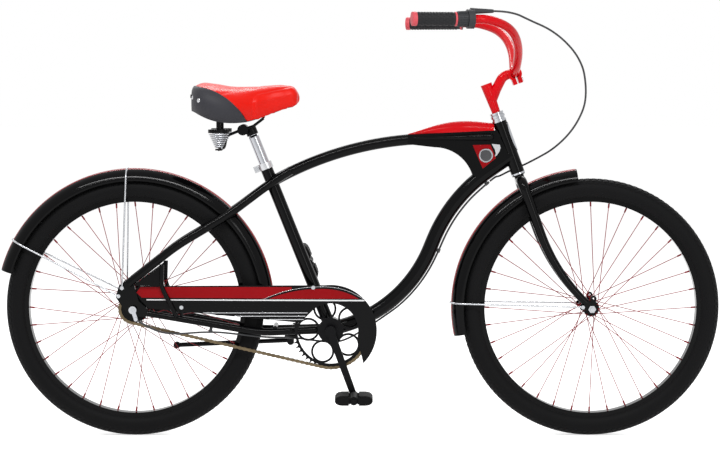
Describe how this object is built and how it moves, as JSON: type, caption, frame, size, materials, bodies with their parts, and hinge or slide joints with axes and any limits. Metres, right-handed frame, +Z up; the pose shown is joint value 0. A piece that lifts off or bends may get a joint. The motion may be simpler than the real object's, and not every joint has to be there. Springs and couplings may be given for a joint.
{
  "type": "beach cruiser bicycle",
  "caption": "Beach cruiser bicycle with a curved steel frame, swept bars on a gooseneck stem, sprung saddle, full fenders, chain guard, coaster-brake hub and folding kickstand.",
  "frame": {"origin": "ground point under the middle of the overall box", "axes": "+X forwards, +Y to the rider's left, +Z up; the drive side faces -Y"},
  "size_m": [1.8614, 0.695, 1.1004],
  "materials": {
    "tyre_rubber": "matte rubber",
    "rim_black": "gloss black",
    "spoke_red": "gloss red",
    "hub_black": "gloss black",
    "axle_steel": "plated",
    "paint_black": "gloss black",
    "paint_red": "gloss red",
    "stay_steel": "bright wire",
    "headset_chrome": "bright plating",
    "grip_rubber": "moulded rubber",
    "shifter_plastic": "satin",
    "crank_black": "gloss black",
    "chain_steel": "bronzed",
    "pedal_rubber": "moulded rubber",
    "collar_alloy": "polished",
    "stand_black": "satin black",
    "badge_plate": "polished",
    "saddle_vinyl": "smooth vinyl",
    "saddle_skirt": "moulded"
  },
  "bodies": {
    "frame": {"head_tube": "paint_black", "top_tube": "paint_black", "down_tube": "paint_black", "seat_tube": "paint_black", "bottom_bracket_shell": "paint_black", "seat_stays": "paint_black", "chain_stays": "paint_black", "rear_dropouts": "paint_black", "headset_cups": "headset_chrome", "bottom_bracket_cups": "crank_black", "rear_fender": "paint_black", "rear_fender_stays": "stay_steel", "rear_axle": "axle_steel", "tank_body": "paint_black", "tank_cover": "paint_red", "badges": "badge_plate", "seat_collar": "collar_alloy", "chain_guard": "paint_black", "chain_guard_brackets": "paint_black", "frame_fasteners": "axle_steel", "bell_crank": "headset_chrome", "brake_arm": "crank_black", "kickstand_bracket": "stand_black", "shift_cable_run": "shifter_plastic", "cable_clips": "shifter_plastic", "chain": "chain_steel"},
    "steering": {"fork_blades": "paint_black", "fork_steerer": "paint_black", "headset_lock_nut": "headset_chrome", "stem": "paint_red", "handlebar": "paint_red", "grips": "grip_rubber", "shifter_housing": "shifter_plastic", "front_axle": "axle_steel", "front_fender": "paint_black", "front_fender_stays": "stay_steel", "steering_fasteners": "axle_steel", "shift_cable_loop": "shifter_plastic"},
    "front_wheel": {"front_tyre": "tyre_rubber", "front_rim": "rim_black", "front_hub": "hub_black", "front_spokes": "spoke_red"},
    "rear_wheel": {"rear_tyre": "tyre_rubber", "rear_rim": "rim_black", "rear_hub": "hub_black", "rear_spokes": "spoke_red"},
    "rear_sprocket": {"rear_sprocket": "chain_steel"},
    "crank": {"crank_arms": "crank_black", "chainring": "crank_black"},
    "pedal_right": {"pedal_right": "pedal_rubber"},
    "pedal_left": {"pedal_left": "pedal_rubber"},
    "kickstand": {"kickstand_leg": "stand_black"},
    "twist_grip": {"twist_grip": "shifter_plastic"},
    "seat_post": {"seat_post": "headset_chrome", "saddle_clamp": "crank_black", "saddle_rails": "crank_black", "saddle_springs": "headset_chrome"},
    "saddle_top": {"saddle_base": "saddle_skirt", "saddle_cushion": "saddle_vinyl", "saddle_fasteners": "crank_black"}
  },
  "joints": [
    {"name": "steering", "type": "hinge", "parent": "frame", "child": "steering", "pos_m": [0.54281, 0, 0.31366], "axis": [-0.342, 0, 0.9397], "range_deg": [-75, 75], "deforming": ["shift_cable_loop"]},
    {"name": "front_wheel_spin", "type": "hinge", "parent": "steering", "child": "front_wheel", "pos_m": [0.59732, 0, 0.3335], "axis": [0, 1, 0], "continuous": true},
    {"name": "rear_wheel_spin", "type": "hinge", "parent": "frame", "child": "rear_wheel", "pos_m": [-0.58328, 0, 0.3335], "axis": [0, 1, 0], "continuous": true},
    {"name": "crank_spin", "type": "hinge", "parent": "frame", "child": "crank", "pos_m": [-0.07558, 0, 0.2773], "axis": [0, 1, 0], "continuous": true, "deforming": ["chain"]},
    {"name": "sprocket_spin", "type": "hinge", "parent": "frame", "child": "rear_sprocket", "pos_m": [-0.58328, 0, 0.3335], "axis": [0, 1, 0], "continuous": true},
    {"name": "pedal_right_spin", "type": "hinge", "parent": "crank", "child": "pedal_right", "pos_m": [-0.01573, -0.13, 0.11285], "axis": [0, 1, 0], "continuous": true},
    {"name": "pedal_left_spin", "type": "hinge", "parent": "crank", "child": "pedal_left", "pos_m": [-0.13544, 0.13, 0.44175], "axis": [0, 1, 0], "continuous": true},
    {"name": "kickstand_swing", "type": "hinge", "parent": "frame", "child": "kickstand", "pos_m": [-0.18158, 0.04, 0.2423], "axis": [0.0143, -0.9445, -0.3283], "range_deg": [0, 55]},
    {"name": "twist_grip_turn", "type": "hinge", "parent": "steering", "child": "twist_grip", "pos_m": [0.13057, -0.33, 1.07301], "axis": [0.9771, 0.2128, 0], "range_deg": [-30, 30]},
    {"name": "seat_post_slide", "type": "slide", "parent": "frame", "child": "seat_post", "axis": [-0.3714, 0, 0.9285], "range_m": [-0.06, 0.06]},
    {"name": "saddle_spring", "type": "hinge", "parent": "seat_post", "child": "saddle_top", "pos_m": [-0.24978, 0, 0.82682], "axis": [0, -1, 0], "range_deg": [0, 4], "stiffness_Nm_per_rad": 500, "springref_deg": -1.15, "deforming": ["saddle_springs"]}
  ],
  "couplings": [
    {"joint": "sprocket_spin", "follows": "crank_spin", "ratio": 2.6667}
  ]
}
